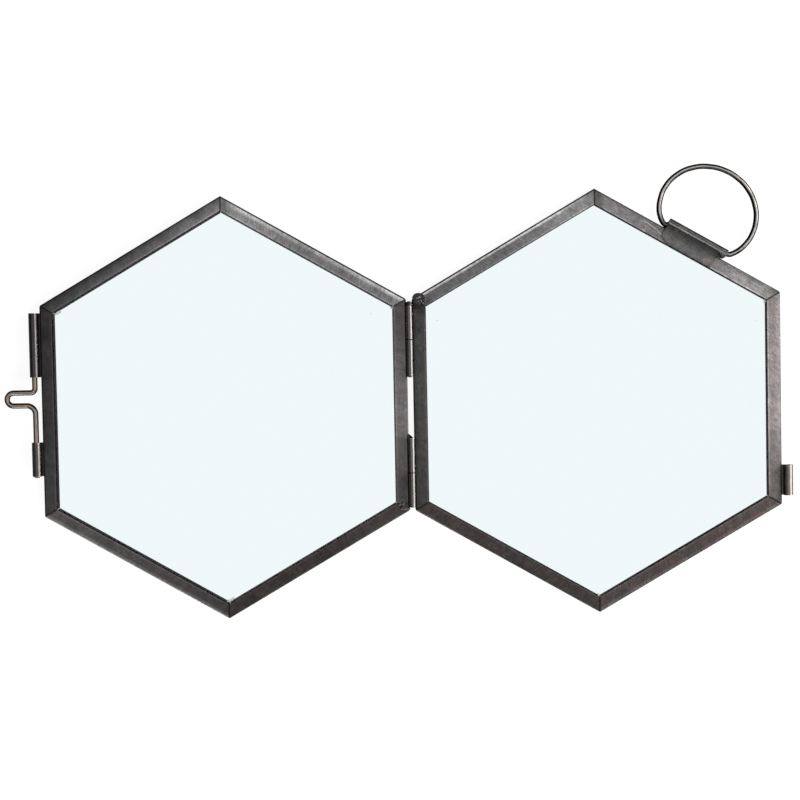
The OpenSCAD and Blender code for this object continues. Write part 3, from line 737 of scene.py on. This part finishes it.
# Painted shade in the hinge joints
# A thin black ring round the pin between the two knuckles of each hinge is painted shade in the
# gap between them.
GAP_SHADE_RADIUS = 1.0 * MM
GAP_SHADE_THICK = 0.37 * MM
GAP_SHADE_WIDTH = 0.56 * MM
GAP_SHADE_ROUGH = 0.03 * MM
GAP_SHADE_GRAIN = 2500
for level in ("upper", "lower"):
    joint_top = min(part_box(level + "_knuckle_left")[1].y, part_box(level + "_knuckle_right")[1].y)
    joint_low = max(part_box(level + "_knuckle_left")[0].y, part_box(level + "_knuckle_right")[0].y)
    bpy.ops.mesh.primitive_torus_add(location=(HINGE_X, (joint_top + joint_low) / 2, pin_z),
                                     rotation=(math.radians(90), 0, 0), major_segments=48, minor_segments=16,
                                     major_radius=GAP_SHADE_RADIUS, minor_radius=GAP_SHADE_THICK)
    bpy.context.object.scale = (1, 1, GAP_SHADE_WIDTH / GAP_SHADE_THICK / 2)
    gap_shade = settle(level + "_joint_gap_shade")
    roughen(gap_shade, GAP_SHADE_ROUGH, GAP_SHADE_GRAIN, seed=11)
    # Near-black finish that paints the shade in the joint
    wear(gap_shade, solder_finish(level + "_joint_gap_shade", (0.004, 0.003, 0.003), (0.008, 0.007, 0.006)))
    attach(gap_shade, "right_leaf")


# Torn hinge corner
# The tail of the lower left knuckle was snipped too long. Its corner stands past the knuckle's
# end as a small dark triangle that reaches over the gap.
FLAP_LENGTH = 1.55 * MM
FLAP_REACH = 0.85 * MM
FLAP_SHEET = 0.3 * MM
FLAP_TAPER = 0.93
FLAP_CURL = 0.35 * MM
FLAP_LAP = 0.1 * MM
FLAP_RISE = 0.1 * MM
FLAP_CUTS = 6
knuckle_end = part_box("lower_knuckle_left")[1].y
rail_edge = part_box("left_leaf_rail_hinge_side")[1].x
bpy.ops.mesh.primitive_plane_add(size=1, location=(0, 0, 0))
bpy.ops.object.mode_set(mode="EDIT")
bpy.ops.mesh.subdivide(number_cuts=FLAP_CUTS)
bpy.ops.object.mode_set(mode="OBJECT")
flap = bpy.context.object
for vertex in flap.data.vertices:
    across, up = vertex.co.x + 0.5, vertex.co.y + 0.5
    reach = (HINGE_X + FLAP_REACH - rail_edge) * (1 - FLAP_TAPER * up)
    vertex.co = (rail_edge + across * reach, knuckle_end - FLAP_LAP + up * FLAP_LENGTH,
                 FACE_TOP + FLAP_RISE + FLAP_CURL * across * across)
solid = flap.modifiers.new("sheet", "SOLIDIFY")
solid.thickness = FLAP_SHEET
solid.offset = 0
bpy.ops.object.modifier_apply(modifier=solid.name)
settle("knuckle_corner")
wear(flap, rolled_finish("knuckle_corner", (0.02, 0.018, 0.018), (0.045, 0.042, 0.040)))
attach(flap, "left_leaf")


# Latch tubes
# The guide tube and the short tube on the left leaf and the keeper on the right one are rolled
# from sheet a little stouter than the knuckles', each on a web that is soldered to the rail.
# Painted highlight on the tubes' cut ends
TUBE_END_HIGHLIGHT = (0.2, 0.18, 0.165)
# The tone of the sides, a painted shade, and of the crown, a painted sheen, and the roughness
TUBES = {
    "latch_guide_tube": ((0.030, 0.028, 0.029), (0.046, 0.043, 0.043), 0.24),
    "latch_short_tube": ((0.036, 0.032, 0.030), (0.072, 0.064, 0.059), 0.24),
    "latch_keeper": ((0.034, 0.031, 0.030), (0.135, 0.121, 0.111), 0.36),
}
for name, (dark, pale, rough) in TUBES.items():
    low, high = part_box(name)
    wear(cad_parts[name], rolled_finish(name, dark, pale, low.y, high.y, TUBE_END_HIGHLIGHT, rough))


# Slide bolt
# One length of wire with a finger loop bent in its middle. It runs in the two latch tubes, whose
# rubbing has worn it to a coppery brown. Its pale crown is a painted highlight and its black sides
# are painted shade.
BOLT_DARK = (0.013, 0.0115, 0.0105)
BOLT_PALE = (0.25, 0.22, 0.20)
BOLT_WARM = (1.18, 0.95, 0.84)
finish = wire_finish("latch_bolt", BOLT_DARK, BOLT_PALE, BOLT_WARM, crown_from=0.75)
wear(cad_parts["latch_bolt"], finish)


# Ring clip
# A sheet tab lies on the upper right rail, held by solder, and rolls on into a tube round the
# ring's wire. Its patina is cloudy, with a painted shade in the valley beside the tube and a
# painted highlight line along the tube.
CLIP_TURN = 60
CLIP_AXIS = Vector((107.296, 52.964, 2.12)) * MM
# Tones across the clip, from the tab's inner edge to the tube's outer side; the darkest ones are a painted
# shade in the valley, the 0.20 ones a painted highlight line
CLIP_BANDS = [(-7.4, 0.086), (-5.4, 0.102), (-4.0, 0.075), (-2.4, 0.040), (-0.9, 0.024), (-0.65, 0.028),
              (-0.47, 0.20), (-0.22, 0.20), (0.0, 0.052), (1.5, 0.044)]


def clip_finish(name):
    """Cloudy patina in bands across the clip, which hold a painted shade and a painted highlight."""
    f = Finish(name)
    local = f.turned(CLIP_AXIS, CLIP_TURN)
    cloud = f.noise(local, 230, 4, 0.6)
    mottle = f.noise(local, 700, 4, 0.62)
    grain = f.noise(local, 2700, 3, 0.62)
    across = f.sum("ADD", f.axes(local)[0], f.span(mottle, 0.3, 0.7, -0.08 * MM, 0.08 * MM))
    low, high = CLIP_BANDS[0][0], CLIP_BANDS[-1][0]
    tone = f.stops(f.span(across, low * MM, high * MM, kind="LINEAR"),
                   [((at - low) / (high - low), grey) for at, grey in CLIP_BANDS], "LINEAR")
    cloudy = [(0.32, (0.80, 0.81, 0.82)), (0.5, (1.0, 0.99, 0.98)), (0.68, (1.28, 1.2, 1.15))]
    speckled = [(0.34, 0.84), (0.5, 1.0), (0.66, 1.18)]
    colour = f.times(tone, f.stops(cloud, cloudy), f.stops(mottle, speckled), f.stops(grain, speckled))
    rough = f.span(grain, 0.3, 0.7, 0.3, 0.42)
    return f.metal(colour, rough, f.sum("ADD", grain, mottle), depth=0.008 * MM, edge=0.35)


wear(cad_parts["ring_clip"], clip_finish("ring_clip"))

# Solder that ran into the corners beside the tube, at both ends of the tab: distance out from the
# clip's axis and along it, length, width and turn
FILLETS = [(-1.75, -9.9, 1.7, 0.95, 0.15), (-2.6, -8.9, 1.3, 0.75, 0.2), (-2.6, 11.7, 0.9, 0.4, 0.15)]
FILLET_HEIGHT = 0.45 * MM
FILLET_SUNK = 0.25 * MM
FILLET_ROUGH = 0.05 * MM
FILLET_GRAIN = 900


def by_clip(out, along):
    """Place that many millimetres out from the clip's axis and along it."""
    ahead, aside = heading(CLIP_TURN)
    return CLIP_AXIS + (ahead * out + aside * along) * MM


fillets = []
for out, along, length, width, twist in FILLETS:
    place = by_clip(out, along)
    place.z = FACE_TOP - FILLET_SUNK
    made = pressed_ball("fillet", place, math.radians(CLIP_TURN + 90) + twist,
                        (length * MM, width * MM, FILLET_HEIGHT))
    roughen(made, FILLET_ROUGH, FILLET_GRAIN, along)
    fillets.append(made)
fillet = joined("clip_solder", fillets)
bpy.ops.object.shade_smooth()
wear(fillet, solder_finish("clip_solder", (0.014, 0.012, 0.0115), (0.020, 0.018, 0.017)))
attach(fillet, "right_leaf")


# Hanging ring
# A wide ring bent by hand from the same wire as the bolt. It swings in its clip; its upper end was
# bent in too far, so it swerves past the clip's line before it enters the tube.
WIRE_RADIUS = 0.95 * MM
WIRE_STEPS = 8
PATH_STEPS = 10
# The ring's pale crown is a painted highlight and its black sides are painted shade
RING_DARK = (0.0145, 0.0135, 0.013)
RING_PALE = (0.385, 0.363, 0.347)
RING_WARM = (1.05, 0.98, 0.95)
# The middle of the bend that flux left sooty, and the wire's middle line from end to end, both as
# distance out from the clip's axis and along it
SOOTY_BEND = (-1.2, 11.9)
RING_PATH = [
    (0.0, -0.25), (0.0, -6.0), (0.0, -11.3), (0.3, -12.6), (1.35, -13.65), (3.9, -15.15), (6.8, -16.0),
    (9.75, -16.25), (15.45, -14.95), (20.2, -11.7), (23.5, -7.2), (25.2, -2.0), (25.35, 3.4),
    (23.9, 8.7), (20.85, 13.55), (16.15, 17.2), (10.3, 18.85), (5.65, 18.3), (2.0, 16.75), (0.4, 15.45),
    (-0.75, 14.1), (-1.3, 13.1), (-1.4, 12.2), (-0.75, 11.35), (-0.1, 10.6), (0.0, 6.0), (0.0, 0.25),
]
bpy.ops.curve.primitive_bezier_curve_add(location=(0, 0, 0))
ring = bpy.context.object
spline = ring.data.splines[0]
spline.bezier_points.add(len(RING_PATH) - 2)
for point, (out, along) in zip(spline.bezier_points, RING_PATH):
    point.handle_left_type = point.handle_right_type = "AUTO"
    point.co = by_clip(out, along)
ring.data.resolution_u = PATH_STEPS
ring.data.bevel_depth = WIRE_RADIUS
ring.data.bevel_resolution = WIRE_STEPS
ring.data.use_fill_caps = True
bpy.ops.object.convert(target="MESH")
ring = settle("bent_ring")
bpy.ops.object.shade_smooth()
wear(ring, wire_finish("hanging_ring", RING_DARK, RING_PALE, RING_WARM, crown_from=0.93,
                       sooty=by_clip(*SOOTY_BEND)))
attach(ring, "hanging_ring")
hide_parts("hanging_ring")


low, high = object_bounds()
